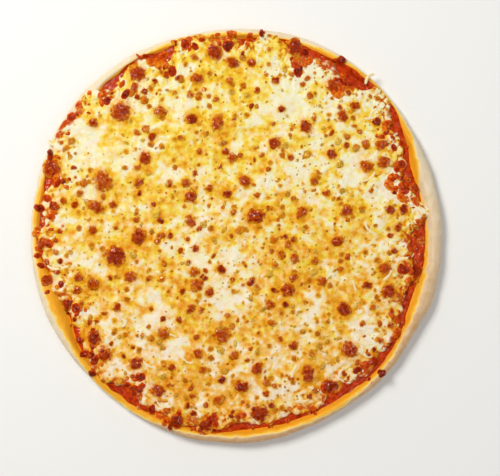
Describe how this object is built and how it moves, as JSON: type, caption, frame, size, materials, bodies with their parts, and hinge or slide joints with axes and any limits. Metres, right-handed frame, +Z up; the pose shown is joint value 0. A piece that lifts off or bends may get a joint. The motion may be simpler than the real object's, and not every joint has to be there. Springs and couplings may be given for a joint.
{
  "type": "cheese pizza",
  "caption": "Whole thin-crust cheese pizza with a low uneven rim, tomato sauce and melted cheese with browned blisters.",
  "frame": {"origin": "centre of the pizza's underside", "axes": "+Z up through the pizza; +Y is the top of the picture, +X its right"},
  "size_m": [0.3042, 0.3065, 0.0153],
  "materials": {
    "crust": "matte baked dough, floury outside",
    "sauce": "glossy wet sauce",
    "cheese": "satin, oily in places",
    "browned": "browned, slightly glossy",
    "shred": "satin"
  },
  "bodies": {
    "root": {"crust": "crust", "tomato_sauce": "sauce", "cheese": "cheese", "browned_scrap_1": "browned", "browned_scrap_2": "browned", "browned_scrap_3": "browned", "browned_scrap_4": "browned", "browned_scrap_5": "browned", "browned_scrap_6": "browned", "pale_shred_1": "shred", "pale_shred_2": "shred"}
  },
  "joints": []
}
